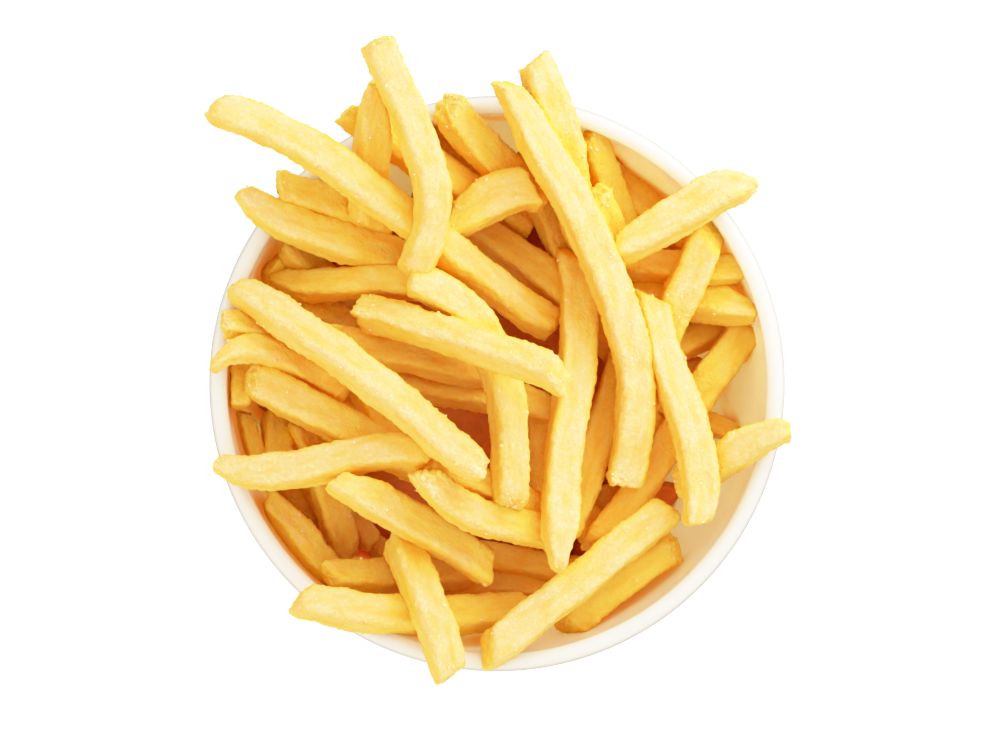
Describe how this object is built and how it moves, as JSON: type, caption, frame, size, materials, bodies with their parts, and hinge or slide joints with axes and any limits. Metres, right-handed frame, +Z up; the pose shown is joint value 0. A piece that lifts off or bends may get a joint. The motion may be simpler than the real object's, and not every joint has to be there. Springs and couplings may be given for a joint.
{
  "type": "french fries portion",
  "caption": "Small round white bowl heaped with straight-cut golden french fries that lie crossed over its rim.",
  "frame": {"origin": "centre of the bowl's flat underside", "axes": "+Z up along the bowl's axis; +X to the right and +Y away from the viewer when the bowl is seen from above"},
  "size_m": [0.1473, 0.1579, 0.0995],
  "materials": {
    "white_glaze": "white glazed ceramic, smooth and glossy",
    "fried_potato": "fried potato, pale golden, slightly oily satin"
  },
  "bodies": {
    "root": {"bowl": "white_glaze", "fries": "fried_potato"}
  },
  "joints": []
}
